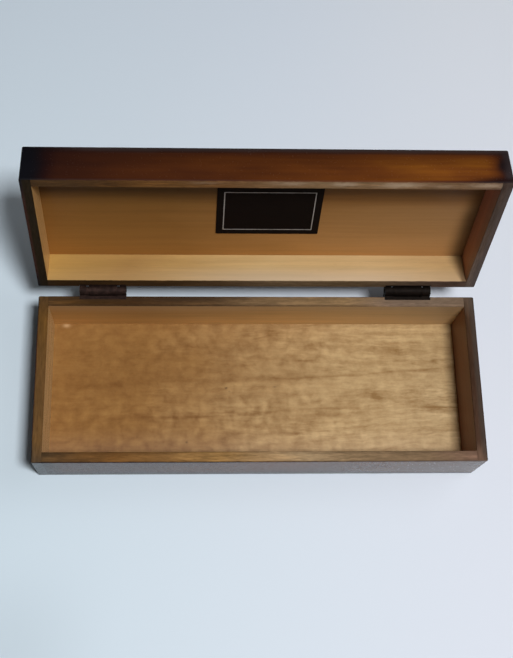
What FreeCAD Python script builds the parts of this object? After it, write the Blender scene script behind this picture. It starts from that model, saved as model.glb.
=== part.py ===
# Hinged wooden case for a fountain pen: a shallow tray and a lid, each glued up
# from four boards and a panel, joined by two stop hinges let into the backs.
#
# Frame: millimetres, +Z up, +X along the case, +Y to the back (hinge side).
# Origin: centre of the tray's underside.  The lid is drawn in its own frame
# (origin on the hinge line, lid shut) and placed standing open on the hinge stops.
import FreeCAD, Part
import Sketcher
import os

V = FreeCAD.Vector

doc = FreeCAD.newDocument("pen_case")

# ---------------------------------------------------------------- dimensions
sheet = doc.addObject("Spreadsheet::Sheet", "dims")
DIMENSIONS = [
    ("case_length", "190", "outside length"),
    ("case_width", "72.5", "outside width, front to back"),
    ("wall_thickness", "4.4", "thickness of every wall board"),
    ("base_height", "28", "tray height over all"),
    ("bottom_thickness", "2.5", "bottom panel, glued under the walls"),
    ("lid_height", "16.6", "lid height over all"),
    ("top_thickness", "2.8", "top panel, glued over the lid walls"),
    ("rim_gap", "0.25", "gap between the rims when shut"),
    ("corner_radius", "0.7", "rounding of the upright outer corners"),
    ("top_radius", "0.6", "rounding around the top panel"),
    ("foot_radius", "0.6", "rounding around the bottom panel"),
    ("rim_ease", "0.3", "eased edges along the rims"),
    ("hinge_offset", "2.75", "hinge line behind the back faces"),
    ("left_hinge", "67.3", "left hinge centre from the middle of the case"),
    ("right_hinge", "65.8", "right hinge centre from the middle of the case"),
    ("open_angle", "104", "lid opening at the hinge stop, degrees"),
    ("leaf_length", "20", "hinge leaf along the case"),
    ("leaf_drop", "9", "hinge leaf height on the back face"),
    ("leaf_thickness", "1.4", "hinge leaf thickness"),
    ("leaf_lip", "0.35", "leaf edge below the rim"),
    ("leaf_corner", "1.2", "rounding of the free leaf corners"),
    ("recess_depth", "1.4", "recess for the leaf in the back wall"),
    ("recess_play", "0.1", "room around the leaf in its recess"),
    ("knuckle_radius", "2.3", "outside radius of the knuckles"),
    ("middle_knuckle", "12", "length of the lid leaf's knuckle"),
    ("knuckle_play", "0.1", "end play between knuckles"),
    ("arm_gap", "0.5", "leaf arm to hinge line"),
    ("swage_play", "0.2", "room between a knuckle and the other leaf's bend"),
    ("swage_drop", "1.2", "thickness of the leaf's outward bend"),
    ("swage_reach", "0.6", "edge of the bend to the hinge line"),
    ("pin_radius", "1.0", "hinge pin radius"),
    ("pin_play", "0.05", "radial play of the lid knuckle on the pin"),
    ("pin_stand", "0.2", "pin end beyond the knuckles"),
    ("dog_length", "1.2", "stop dog beyond the lid knuckle"),
    ("dog_sweep", "60", "angle filled by the stop dog, degrees"),
    ("dog_start", "275", "stop face on the tray knuckle, degrees about the pin"),
    ("dog_slack", "0.3", "play at each end of the dog's travel, degrees"),
    ("screw_radius", "0.7", "hinge screw shank radius"),
    ("screw_head", "1.5", "hinge screw head radius"),
    ("screw_length", "4.2", "hinge screw over all"),
    ("screw_point", "0.8", "length of the screw's point"),
    ("screw_hole", "0.8", "screw hole radius in the leaf"),
    ("screw_spread", "6", "screw from the middle of the leaf"),
    ("screw_drop", "5.4", "screw below the leaf's upper edge"),
    ("slot_width", "0.4", "screw driver slot width"),
    ("slot_depth", "0.35", "screw driver slot depth"),
    ("label_width", "43.5", "label along the case"),
    ("label_height", "31", "label across the lid"),
    ("label_thickness", "0.4", "label thickness"),
    ("label_shift", "2.9", "label centre right of the middle"),
    ("label_corner", "0.5", "label corner rounding"),
]
size = {}
for row, (alias, number, meaning) in enumerate(DIMENSIONS, start=1):
    sheet.set("A%d" % row, meaning)
    sheet.set("B%d" % row, number)
    sheet.setAlias("B%d" % row, alias)
    size[alias] = float(number)
doc.recompute()

parts = []
HINGE_PLACE = {-1: "-dims.left_hinge", 1: "dims.right_hinge"}


# ------------------------------------------------------------------ helpers
def origin_plane(body, role):
    for feature in body.Origin.OriginFeatures:
        if feature.Role == role:
            return feature
    raise RuntimeError("no plane " + role)


def tray_body(label):
    """A piece of the tray: drawn in the case frame."""
    body = doc.addObject("PartDesign::Body", label)
    body.Label = label
    parts.append(body)
    return body


def hinge_line(body, side=0):
    """Put a body's origin on the hinge line, at the middle or at one hinge."""
    if side:
        body.setExpression("Placement.Base.x", HINGE_PLACE[side])
    body.setExpression("Placement.Base.y", "dims.case_width / 2 + dims.hinge_offset")
    body.setExpression("Placement.Base.z", "dims.base_height + dims.rim_gap / 2")


def hinge_body(label, side):
    """A hinge piece that stays with the tray."""
    body = tray_body(label)
    hinge_line(body, side)
    return body


def lid_body(label, side=0):
    """A piece of the lid: drawn shut, turned back about the hinge line."""
    body = tray_body(label)
    body.Placement = FreeCAD.Placement(V(0, 0, 0), FreeCAD.Rotation(V(-1, 0, 0), size["open_angle"]))
    body.setExpression("Placement.Rotation.Angle", "dims.open_angle")
    hinge_line(body, side)
    return body


def place(feature, body, role, offset, turn=None):
    feature.AttachmentSupport = [(origin_plane(body, role), "")]
    feature.MapMode = "FlatFace"
    for axis, rule in zip("xyz", offset):
        if rule:
            feature.setExpression("AttachmentOffset.Base." + axis, rule)
    if turn:
        feature.setExpression("AttachmentOffset.Rotation.Angle", turn)


def rectangle(body, name, width, depth, offset, guess):
    """A centred rectangle parallel to the case's bottom."""
    sketch = body.newObject("Sketcher::SketchObject", name)
    place(sketch, body, "XY_Plane", offset)
    a, b = guess[0] / 2.0, guess[1] / 2.0
    corners = [V(-a, -b, 0), V(a, -b, 0), V(a, b, 0), V(-a, b, 0)]
    for i in range(4):
        sketch.addGeometry(Part.LineSegment(corners[i], corners[(i + 1) % 4]), False)
    for i in range(4):
        sketch.addConstraint(Sketcher.Constraint("Coincident", i, 2, (i + 1) % 4, 1))
    for i in (0, 2):
        sketch.addConstraint(Sketcher.Constraint("Horizontal", i))
    for i in (1, 3):
        sketch.addConstraint(Sketcher.Constraint("Vertical", i))
    sketch.addConstraint(Sketcher.Constraint("Symmetric", 0, 1, 1, 2, -1, 1))
    n = sketch.addConstraint(Sketcher.Constraint("DistanceX", 0, 1, 0, 2, guess[0]))
    sketch.renameConstraint(n, "width")
    n = sketch.addConstraint(Sketcher.Constraint("DistanceY", 1, 1, 1, 2, guess[1]))
    sketch.renameConstraint(n, "depth")
    sketch.setExpression("Constraints.width", width)
    sketch.setExpression("Constraints.depth", depth)
    return sketch


def pad(body, sketch, name, length):
    feature = body.newObject("PartDesign::Pad", name)
    feature.Profile = sketch
    feature.setExpression("Length", length)
    doc.recompute()
    return feature


def solid(body, kind, name, role, offset, sizes, turn=None):
    """A box, cylinder or cone added to a body or cut from it."""
    feature = body.newObject("PartDesign::" + kind, name)
    place(feature, body, role, offset, turn)
    for prop, rule in sizes.items():
        feature.setExpression(prop, rule)
    doc.recompute()
    return feature


def fillet(body, name, radius, wanted):
    """Round the edges of the body so far that the test picks."""
    doc.recompute()
    base = body.Tip
    names = ["Edge%d" % (i + 1) for i, e in enumerate(base.Shape.Edges) if wanted(e)]
    if not names:
        raise RuntimeError("no edges for " + name)
    feature = body.newObject("PartDesign::Fillet", name)
    feature.Base = (base, names)
    feature.Radius = size[radius]
    feature.setExpression("Radius", "dims." + radius)
    doc.recompute()
    return feature


def ends(edge):
    return edge.Vertexes[0].Point, edge.Vertexes[-1].Point


def near(a, b):
    return abs(a - b) < 1e-4


def upright(edge):
    a, b = ends(edge)
    return near(a.x, b.x) and near(a.y, b.y) and not near(a.z, b.z)


def level_at(edge, z):
    a, b = ends(edge)
    return near(a.z, z) and near(b.z, z)


def along_x(edge):
    a, b = ends(edge)
    return near(a.y, b.y) and near(a.z, b.z) and not near(a.x, b.x)


half_length = size["case_length"] / 2.0
half_width = size["case_width"] / 2.0

# ---------------------------------------------------------------- the boxes
# A box here is a ring of boards and a panel.  "middle" is the y of its centre
# line, "foot" the z where the ring starts, both as rules on the sheet; the
# numbers give the rim height and the panel faces for picking edges.


def ring(make, prefix, middle, foot, tall, rim_z, middle_y):
    """Four boards: the ends run the full width, front and back fit between."""
    for name, sign in (("left_end", -1), ("right_end", 1)):
        body = make(prefix + "_" + name)
        plan = rectangle(body, body.Label + "_plan", "dims.wall_thickness", "dims.case_width",
                         ("%d * (dims.case_length - dims.wall_thickness) / 2" % sign, middle, foot),
                         (size["wall_thickness"], size["case_width"]))
        pad(body, plan, body.Label + "_board", tall)
        fillet(body, body.Label + "_corners", "corner_radius",
               lambda e, s=sign: upright(e) and near(ends(e)[0].x, s * half_length))
        fillet(body, body.Label + "_rim", "rim_ease", lambda e: level_at(e, rim_z))

    for name, sign in (("front_wall", -1), ("rear_wall", 1)):
        body = make(prefix + "_" + name)
        plan = rectangle(body, body.Label + "_plan", "dims.case_length - 2 * dims.wall_thickness",
                         "dims.wall_thickness",
                         ("", middle + " + %d * (dims.case_width - dims.wall_thickness) / 2" % sign, foot),
                         (size["case_length"] - 2 * size["wall_thickness"], size["wall_thickness"]))
        pad(body, plan, body.Label + "_board", tall)
        fillet(body, body.Label + "_rim", "rim_ease", lambda e: level_at(e, rim_z) and along_x(e))
        if name == "rear_wall":
            rear = body
    return rear


def panel(make, label, middle, foot, thick, outer_z, radius):
    body = make(label)
    plan = rectangle(body, label + "_plan", "dims.case_length", "dims.case_width", ("", middle, foot),
                     (size["case_length"], size["case_width"]))
    pad(body, plan, label + "_board", thick)
    fillet(body, label + "_corners", "corner_radius", upright)
    fillet(body, label + "_edge", radius, lambda e: level_at(e, outer_z))
    return body


# Tray: bottom panel under a ring of boards.
panel(tray_body, "base_bottom_panel", "0", "", "dims.bottom_thickness", 0.0, "foot_radius")
base_rear = ring(tray_body, "base", "0", "dims.bottom_thickness",
                 "dims.base_height - dims.bottom_thickness", size["base_height"], 0.0)

# Lid: the same ring, rim down, with the top panel over it.
LID_MIDDLE = "-(dims.hinge_offset + dims.case_width / 2)"
lid_rear = ring(lid_body, "lid", LID_MIDDLE, "dims.rim_gap / 2", "dims.lid_height - dims.top_thickness",
                size["rim_gap"] / 2, -(size["hinge_offset"] + half_width))
panel(lid_body, "lid_top_panel", LID_MIDDLE, "dims.rim_gap / 2 + dims.lid_height - dims.top_thickness",
      "dims.top_thickness", size["rim_gap"] / 2 + size["lid_height"], "top_radius")

# Label on the inside of the top panel.
label = lid_body("lid_label")
plan = rectangle(label, "lid_label_plan", "dims.label_width", "dims.label_height",
                 ("dims.label_shift", LID_MIDDLE,
                  "dims.rim_gap / 2 + dims.lid_height - dims.top_thickness - dims.label_thickness"),
                 (size["label_width"], size["label_height"]))
pad(label, plan, "lid_label_sheet", "dims.label_thickness")
fillet(label, "lid_label_corners", "label_corner", upright)

# ------------------------------------------------- recesses in the back walls
for sign, side in ((-1, "left"), (1, "right")):
    place_x = HINGE_PLACE[sign]
    # open at the rim and at the back face
    solid(base_rear, "SubtractiveBox", "base_recess_" + side, "YZ_Plane",
          ("dims.case_width / 2 - dims.recess_depth",
           "dims.base_height - dims.leaf_lip - dims.leaf_drop - dims.recess_play",
           place_x + " - dims.leaf_length / 2 - dims.recess_play"),
          {"Length": "dims.recess_depth + 1",
           "Width": "dims.leaf_drop + dims.leaf_lip + dims.recess_play + 1",
           "Height": "dims.leaf_length + 2 * dims.recess_play"})
    solid(lid_rear, "SubtractiveBox", "lid_recess_" + side, "YZ_Plane",
          ("-(dims.hinge_offset + dims.recess_depth)", "dims.rim_gap / 2 - 1",
           place_x + " - dims.leaf_length / 2 - dims.recess_play"),
          {"Length": "dims.recess_depth + 1",
           "Width": "dims.leaf_drop + dims.leaf_lip + dims.recess_play + 1",
           "Height": "dims.leaf_length + 2 * dims.recess_play"})
    # pilot holes
    for step, which in ((-1, "a"), (1, "b")):
        hole_x = place_x + " + %d * dims.screw_spread" % step
        solid(base_rear, "SubtractiveCylinder", "base_pilot_%s_%s" % (side, which), "XZ_Plane",
              (hole_x, "dims.base_height - dims.leaf_lip - dims.screw_drop",
               "-(dims.case_width / 2 - dims.recess_depth)"),
              {"Radius": "dims.screw_radius", "Height": "dims.screw_length - dims.leaf_thickness"})
        solid(lid_rear, "SubtractiveCylinder", "lid_pilot_%s_%s" % (side, which), "XZ_Plane",
              (hole_x, "dims.rim_gap / 2 + dims.leaf_lip + dims.screw_drop",
               "dims.hinge_offset + dims.recess_depth"),
              {"Radius": "dims.screw_radius", "Height": "dims.screw_length - dims.leaf_thickness"})

# -------------------------------------------------------------------- hinges
LEAF_BACK = "-(dims.hinge_offset + dims.recess_depth)"
LEAF_FACE = "dims.hinge_offset + dims.recess_depth - dims.leaf_thickness"
LEAF_NEAR = "dims.rim_gap / 2 + dims.leaf_lip"
SIDE_KNUCKLE = "(dims.leaf_length - dims.middle_knuckle) / 2 - dims.knuckle_play"
TRAY_SCREW = "-(dims.rim_gap / 2 + dims.leaf_lip + dims.screw_drop)"
LID_SCREW = "dims.rim_gap / 2 + dims.leaf_lip + dims.screw_drop"


def leaf_holes(body, height):
    """Two countersunk screw holes in a leaf."""
    for step, which in ((-1, "a"), (1, "b")):
        at = ("%d * dims.screw_spread" % step, height, LEAF_FACE)
        solid(body, "SubtractiveCylinder", body.Label + "_hole_" + which, "XZ_Plane", at,
              {"Radius": "dims.screw_hole", "Height": "dims.leaf_thickness"})
        solid(body, "SubtractiveCone", body.Label + "_sink_" + which, "XZ_Plane", at,
              {"Radius1": "dims.screw_head", "Radius2": "dims.screw_radius",
               "Height": "dims.screw_head - dims.screw_radius"})


def screws(body, height):
    """The two countersunk screws of one leaf, with driver slots."""
    if hasattr(body, "AllowCompound"):
        body.AllowCompound = True
    for step, which in ((-1, "a"), (1, "b")):
        x = "%d * dims.screw_spread" % step
        solid(body, "AdditiveCylinder", body.Label + "_shank_" + which, "XZ_Plane", (x, height, LEAF_FACE),
              {"Radius": "dims.screw_radius", "Height": "dims.screw_length - dims.screw_point"})
        solid(body, "AdditiveCone", body.Label + "_head_" + which, "XZ_Plane", (x, height, LEAF_FACE),
              {"Radius1": "dims.screw_head", "Radius2": "dims.screw_radius",
               "Height": "dims.screw_head - dims.screw_radius"})
        solid(body, "AdditiveCone", body.Label + "_point_" + which, "XZ_Plane",
              (x, height, LEAF_FACE + " + dims.screw_length - dims.screw_point"),
              {"Radius1": "dims.screw_radius", "Radius2": "dims.screw_radius / 5",
               "Height": "dims.screw_point"})
        solid(body, "SubtractiveBox", body.Label + "_slot_" + which, "XZ_Plane",
              (x + " - dims.screw_head", height + " - dims.slot_width / 2", LEAF_FACE),
              {"Length": "2 * dims.screw_head", "Width": "dims.slot_width", "Height": "dims.slot_depth"})


for sign, side in ((-1, "left"), (1, "right")):
    # Tray leaf: plate in the recess, two side knuckles on arms, a stop face in each.
    leaf = hinge_body("hinge_%s_base_leaf" % side, sign)
    name = leaf.Label
    solid(leaf, "AdditiveBox", name + "_plate", "YZ_Plane",
          (LEAF_BACK, "-(" + LEAF_NEAR + " + dims.leaf_drop)", "-dims.leaf_length / 2"),
          {"Length": "dims.leaf_thickness", "Width": "dims.leaf_drop", "Height": "dims.leaf_length"})
    free = -(size["rim_gap"] / 2 + size["leaf_lip"] + size["leaf_drop"])
    fillet(leaf, name + "_corners", "leaf_corner",
           lambda e: level_at(e, free) and not near(ends(e)[0].y, ends(e)[1].y))
    solid(leaf, "AdditiveBox", name + "_bend", "YZ_Plane",
          (LEAF_BACK, "-(dims.knuckle_radius + dims.swage_play + dims.swage_drop)", "-dims.leaf_length / 2"),
          {"Length": "dims.hinge_offset + dims.recess_depth - dims.swage_reach",
           "Width": "dims.swage_drop", "Height": "dims.leaf_length"})
    for start, which in (("-dims.leaf_length / 2", "a"), ("dims.middle_knuckle / 2 + dims.knuckle_play", "b")):
        solid(leaf, "AdditiveBox", name + "_arm_" + which, "YZ_Plane",
              (LEAF_BACK, "-(dims.knuckle_radius + dims.swage_play)", start),
              {"Length": "dims.hinge_offset + dims.recess_depth",
               "Width": "dims.knuckle_radius + dims.swage_play - dims.arm_gap", "Height": SIDE_KNUCKLE})
        solid(leaf, "AdditiveCylinder", name + "_knuckle_" + which, "YZ_Plane", ("", "", start),
              {"Radius": "dims.knuckle_radius", "Height": SIDE_KNUCKLE})
    solid(leaf, "SubtractiveCylinder", name + "_bore", "YZ_Plane", ("", "", "-dims.leaf_length / 2 - 1"),
          {"Radius": "dims.pin_radius", "Height": "dims.leaf_length + 2"})
    for start, which in (("-(dims.middle_knuckle / 2 + dims.dog_length + dims.knuckle_play)", "a"),
                         ("dims.middle_knuckle / 2", "b")):
        solid(leaf, "SubtractiveCylinder", name + "_stop_" + which, "YZ_Plane", ("", "", start),
              {"Radius": "dims.knuckle_radius + 0.2", "Height": "dims.dog_length + dims.knuckle_play",
               "Angle": "dims.dog_sweep + dims.open_angle + 2 * dims.dog_slack"}, "dims.dog_start")
    leaf_holes(leaf, TRAY_SCREW)

    # Lid leaf: plate, one middle knuckle on its arm, a stop dog past each end of it.
    leaf = lid_body("hinge_%s_lid_leaf" % side, sign)
    name = leaf.Label
    solid(leaf, "AdditiveBox", name + "_plate", "YZ_Plane",
          (LEAF_BACK, LEAF_NEAR, "-dims.leaf_length / 2"),
          {"Length": "dims.leaf_thickness", "Width": "dims.leaf_drop", "Height": "dims.leaf_length"})
    far = size["rim_gap"] / 2 + size["leaf_lip"] + size["leaf_drop"]
    fillet(leaf, name + "_corners", "leaf_corner",
           lambda e: level_at(e, far) and not near(ends(e)[0].y, ends(e)[1].y))
    solid(leaf, "AdditiveBox", name + "_bend", "YZ_Plane",
          (LEAF_BACK, "dims.knuckle_radius + dims.swage_play", "-dims.leaf_length / 2"),
          {"Length": "dims.hinge_offset + dims.recess_depth - dims.swage_reach",
           "Width": "dims.swage_drop", "Height": "dims.leaf_length"})
    solid(leaf, "AdditiveBox", name + "_arm", "YZ_Plane", (LEAF_BACK, "dims.arm_gap", "-dims.middle_knuckle / 2"),
          {"Length": "dims.hinge_offset + dims.recess_depth",
           "Width": "dims.knuckle_radius + dims.swage_play - dims.arm_gap", "Height": "dims.middle_knuckle"})
    solid(leaf, "AdditiveCylinder", name + "_knuckle", "YZ_Plane", ("", "", "-dims.middle_knuckle / 2"),
          {"Radius": "dims.knuckle_radius", "Height": "dims.middle_knuckle"})
    solid(leaf, "AdditiveCylinder", name + "_dog", "YZ_Plane",
          ("", "", "-(dims.middle_knuckle / 2 + dims.dog_length)"),
          {"Radius": "dims.knuckle_radius", "Height": "dims.middle_knuckle + 2 * dims.dog_length",
           "Angle": "dims.dog_sweep"}, "dims.dog_start + dims.dog_slack + dims.open_angle - 360")
    solid(leaf, "SubtractiveCylinder", name + "_bore", "YZ_Plane", ("", "", "-dims.leaf_length / 2"),
          {"Radius": "dims.pin_radius + dims.pin_play", "Height": "dims.leaf_length"})
    leaf_holes(leaf, LID_SCREW)

    # Pin: tight in the tray knuckles, free in the lid knuckle, ends rounded.
    pin = hinge_body("hinge_%s_pin" % side, sign)
    sketch = pin.newObject("Sketcher::SketchObject", pin.Label + "_round")
    place(sketch, pin, "YZ_Plane", ("", "", "-(dims.leaf_length / 2 + dims.pin_stand)"))
    sketch.addGeometry(Part.Circle(V(0, 0, 0), V(0, 0, 1), size["pin_radius"]), False)
    sketch.addConstraint(Sketcher.Constraint("Coincident", 0, 3, -1, 1))
    n = sketch.addConstraint(Sketcher.Constraint("Radius", 0, size["pin_radius"]))
    sketch.renameConstraint(n, "radius")
    sketch.setExpression("Constraints.radius", "dims.pin_radius")
    pad(pin, sketch, pin.Label + "_rod", "dims.leaf_length + 2 * dims.pin_stand")
    fillet(pin, pin.Label + "_ends", "pin_stand", lambda e: near(ends(e)[0].x, ends(e)[1].x))

    # Screws of both leaves.
    screws(hinge_body("hinge_%s_base_screws" % side, sign), TRAY_SCREW)
    screws(lid_body("hinge_%s_lid_screws" % side, sign), LID_SCREW)

# -------------------------------------------------------------------- checks
doc.recompute()
for obj in doc.Objects:
    if "Invalid" in obj.State or "Error" in obj.State:
        raise RuntimeError("failed: %s %s" % (obj.Label, obj.State))
for body in parts:
    shape = body.Shape
    if shape.isNull() or not shape.isValid():
        raise RuntimeError("bad shape: " + body.Label)
    wanted = 2 if body.Label.endswith("_screws") else 1
    if len(shape.Solids) != wanted:
        raise RuntimeError("%s has %d solids" % (body.Label, len(shape.Solids)))

# -------------------------------------------------------------------- output
os.makedirs("parts", exist_ok=True)
for body in parts:
    body.Shape.exportStep("parts/%s.step" % body.Label)
    box = body.Shape.BoundBox
    print("%-24s %9.2f mm3  x %7.2f..%7.2f  y %7.2f..%7.2f  z %7.2f..%7.2f" % (
        body.Label, body.Shape.Volume, box.XMin, box.XMax, box.YMin, box.YMax, box.ZMin, box.ZMax))
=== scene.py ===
import math

import bmesh
import bpy
from mathutils import Matrix, Vector


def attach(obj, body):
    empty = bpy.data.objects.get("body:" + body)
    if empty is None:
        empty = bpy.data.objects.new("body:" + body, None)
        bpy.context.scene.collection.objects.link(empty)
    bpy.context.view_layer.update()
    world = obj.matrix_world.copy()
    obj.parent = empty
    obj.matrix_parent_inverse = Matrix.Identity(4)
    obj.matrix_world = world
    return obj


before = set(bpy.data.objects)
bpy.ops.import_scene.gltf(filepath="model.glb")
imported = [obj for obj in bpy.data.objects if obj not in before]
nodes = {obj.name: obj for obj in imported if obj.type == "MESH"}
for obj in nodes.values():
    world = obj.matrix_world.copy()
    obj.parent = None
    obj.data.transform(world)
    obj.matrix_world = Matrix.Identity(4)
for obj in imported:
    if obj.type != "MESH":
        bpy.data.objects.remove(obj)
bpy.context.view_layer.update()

scene = bpy.context.scene
scene.view_settings.view_transform = "Standard"

# Sizes of the case in millimetres, in the frame of the shut case.
LENGTH, WIDTH, WALL = 190.0, 72.5, 4.4
BASE_RIM, LID_RIM, TOP = 28.0, 28.25, 44.85
FLOOR, CEILING = 2.5, 42.05
OPEN = math.radians(104.0)
HINGE = Vector((0.0, 39.0, 28.125))
HX, HY = LENGTH / 2, WIDTH / 2
IX, IY = HX - WALL, HY - WALL


# ---------------------------------------------------------------- node graphs
class Sock:
    """A node output that takes part in sums and products."""

    def __init__(self, graph, socket):
        self.g, self.s = graph, socket

    def __add__(self, o): return self.g.math("ADD", self, o)
    def __radd__(self, o): return self.g.math("ADD", o, self)
    def __sub__(self, o): return self.g.math("SUBTRACT", self, o)
    def __rsub__(self, o): return self.g.math("SUBTRACT", o, self)
    def __mul__(self, o): return self.g.math("MULTIPLY", self, o)
    def __rmul__(self, o): return self.g.math("MULTIPLY", o, self)
    def __truediv__(self, o): return self.g.math("DIVIDE", self, o)
    def __neg__(self): return self.g.math("MULTIPLY", self, -1.0)


class Graph:
    """One procedural material."""

    def __init__(self, name, body=None):
        self.mat = bpy.data.materials.new(name)
        self.mat.use_nodes = True
        self.nt = self.mat.node_tree
        self.nt.nodes.clear()
        self.out = self.nt.nodes.new("ShaderNodeOutputMaterial")
        self.bsdf = self.nt.nodes.new("ShaderNodeBsdfPrincipled")
        self.nt.links.new(self.bsdf.outputs["BSDF"], self.out.inputs["Surface"])
        self.count = 0
        if body is not None:
            self.place(body)

    def node(self, kind):
        n = self.nt.nodes.new(kind)
        n.location = (-220 * (1 + self.count // 12), -180 * (self.count % 12))
        self.count += 1
        return n

    def plug(self, value, socket):
        if isinstance(value, Sock):
            self.nt.links.new(value.s, socket)
        elif isinstance(value, tuple) and len(value) == 3 and socket.type == "RGBA":
            socket.default_value = (*value, 1.0)
        else:
            socket.default_value = value

    def place(self, body):
        """Millimetres in the frame of the shut case, the same on every pose."""
        tex = self.node("ShaderNodeTexCoord")
        mp = self.node("ShaderNodeMapping")
        mp.inputs["Scale"].default_value = (1000, 1000, 1000)
        if body == "lid":
            turn = Matrix.Rotation(OPEN, 3, "X")
            mp.inputs["Rotation"].default_value = (OPEN, 0, 0)
            mp.inputs["Location"].default_value = HINGE - turn @ HINGE
        self.nt.links.new(tex.outputs["Object"], mp.inputs["Vector"])
        self.p = Sock(self, mp.outputs["Vector"])
        sep = self.node("ShaderNodeSeparateXYZ")
        self.plug(self.p, sep.inputs[0])
        self.x, self.y, self.z = (Sock(self, o) for o in sep.outputs)

    def math(self, op, a, b=None, c=None, clamp=False):
        n = self.node("ShaderNodeMath")
        n.operation, n.use_clamp = op, clamp
        for v, s in zip((a, b, c), n.inputs):
            if v is not None:
                self.plug(v, s)
        return Sock(self, n.outputs[0])

    def abs(self, a): return self.math("ABSOLUTE", a)
    def max(self, a, b): return self.math("MAXIMUM", a, b)
    def min(self, a, b): return self.math("MINIMUM", a, b)
    def pow(self, a, b): return self.math("POWER", a, b)
    def exp(self, a): return self.math("EXPONENT", a)

    def ease(self, v, a, b, c=0.0, d=1.0, kind="SMOOTHSTEP"):
        """From c at v=a to d at v=b, level outside."""
        n = self.node("ShaderNodeMapRange")
        n.interpolation_type = kind
        n.clamp = True
        for s, u in zip(("Value", "From Min", "From Max", "To Min", "To Max"), (v, a, b, c, d)):
            self.plug(u, n.inputs[s])
        return Sock(self, n.outputs["Result"])

    def ramp(self, v, a, b, c=0.0, d=1.0):
        return self.ease(v, a, b, c, d, "LINEAR")

    def vec(self, x, y, z):
        n = self.node("ShaderNodeCombineXYZ")
        for v, s in zip((x, y, z), n.inputs):
            self.plug(v, s)
        return Sock(self, n.outputs[0])

    def times(self, v, scale, shift=(0, 0, 0)):
        n = self.node("ShaderNodeVectorMath")
        n.operation = "MULTIPLY_ADD"
        self.plug(v, n.inputs[0])
        n.inputs[1].default_value = scale
        n.inputs[2].default_value = shift
        return Sock(self, n.outputs[0])

    def noise(self, v, scale=1.0, detail=2.0, rough=0.5, warp=0.0):
        n = self.node("ShaderNodeTexNoise")
        n.noise_dimensions = "3D"
        self.plug(v, n.inputs["Vector"])
        n.inputs["Scale"].default_value = scale
        n.inputs["Detail"].default_value = detail
        n.inputs["Roughness"].default_value = rough
        n.inputs["Distortion"].default_value = warp
        return Sock(self, n.outputs["Fac"])

    def cells(self, v, scale=1.0, jitter=1.0):
        n = self.node("ShaderNodeTexVoronoi")
        self.plug(v, n.inputs["Vector"])
        n.inputs["Scale"].default_value = scale
        n.inputs["Randomness"].default_value = jitter
        return Sock(self, n.outputs["Distance"])

    def mix(self, f, a, b, kind="MIX"):
        n = self.node("ShaderNodeMix")
        n.data_type, n.blend_type = "RGBA", kind
        n.clamp_factor = True
        self.plug(f, n.inputs["Factor"])
        self.plug(a, [s for s in n.inputs if s.name == "A" and s.type == "RGBA"][0])
        self.plug(b, [s for s in n.inputs if s.name == "B" and s.type == "RGBA"][0])
        return Sock(self, [s for s in n.outputs if s.type == "RGBA"][0])

    def blend(self, f, a, b):
        """Number mix."""
        return self.ramp(f, 0.0, 1.0, a, b)

    def shade(self, colour, value):
        """Colour times a number."""
        n = self.node("ShaderNodeVectorMath")
        n.operation = "SCALE"
        self.plug(colour, n.inputs[0])
        self.plug(value, n.inputs["Scale"])
        return Sock(self, n.outputs[0])

    def stops(self, v, places):
        """Colour ramp: ((position, (r, g, b)), ...)."""
        n = self.node("ShaderNodeValToRGB")
        e = n.color_ramp.elements
        while len(e) < len(places):
            e.new(0.5)
        for item, (pos, col) in zip(e, places):
            item.position = pos
            item.color = (*col, 1.0)
        self.plug(v, n.inputs[0])
        return Sock(self, n.outputs["Color"])

    def bump(self, height, depth, strength=1.0, normal=None):
        """height 0..1 stands for depth millimetres."""
        n = self.node("ShaderNodeBump")
        n.inputs["Strength"].default_value = strength
        n.inputs["Distance"].default_value = depth * 0.001
        self.plug(height, n.inputs["Height"])
        if normal is not None:
            self.plug(normal, n.inputs["Normal"])
        return Sock(self, n.outputs["Normal"])

    def set(self, **values):
        names = {
            "colour": "Base Color", "rough": "Roughness", "metal": "Metallic", "normal": "Normal",
            "spec": "Specular IOR Level", "ior": "IOR", "coat": "Coat Weight",
            "coat_rough": "Coat Roughness", "sheen": "Sheen Weight", "aniso": "Anisotropic",
        }
        for k, v in values.items():
            self.plug(v, self.bsdf.inputs[names[k]])
        return self.mat


def give(node, material):
    o = nodes[node]
    o.data.materials.clear()
    o.data.materials.append(material)


def lin(r, g, b):
    """Colour given in display numbers, as light."""
    f = lambda v: v / 12.92 if v <= 0.04045 else ((v + 0.055) / 1.055) ** 2.4
    return (f(r / 255), f(g / 255), f(b / 255))


# ---------------------------------------------------------------- wood finishes
# Sprayed lacquer, from the dark edges to the amber middle.
BURST = (
    (0.00, (0.0060, 0.0046, 0.0056)),
    (0.16, (0.0200, 0.0068, 0.0058)),
    (0.42, (0.064, 0.0178, 0.0062)),
    (0.66, (0.125, 0.0355, 0.0070)),
    (0.86, (0.205, 0.0665, 0.0084)),
    (1.00, (0.275, 0.0960, 0.0102)),
)


def grain(g, along, seed):
    """Solid wood grain: broad streaks, fine fibres and short pores running along one axis."""
    order = {"x": (0, 1, 2), "y": (1, 0, 2)}[along]
    axes = [g.x, g.y, g.z]
    v = g.vec(*(axes[i] for i in order))
    sway = g.noise(g.times(v, (0.016, 0.05, 0.05), (seed, 3.1 * seed, 0)), detail=1.0)
    lifted = g.vec(axes[order[0]], axes[order[1]] + (sway - 0.5) * 5.0, axes[order[2]] + (sway - 0.5) * 3.0)
    streak = g.noise(g.times(lifted, (0.012, 0.55, 0.55), (seed, 0, 2 * seed)), detail=3.0, rough=0.55)
    fibre = g.noise(g.times(lifted, (0.06, 3.2, 3.2), (0, seed, seed)), detail=3.0, rough=0.65)
    pore = g.noise(g.times(lifted, (0.22, 4.5, 4.5), (seed, seed, 0)), detail=1.0)
    return streak, fibre, pore, v


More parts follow.
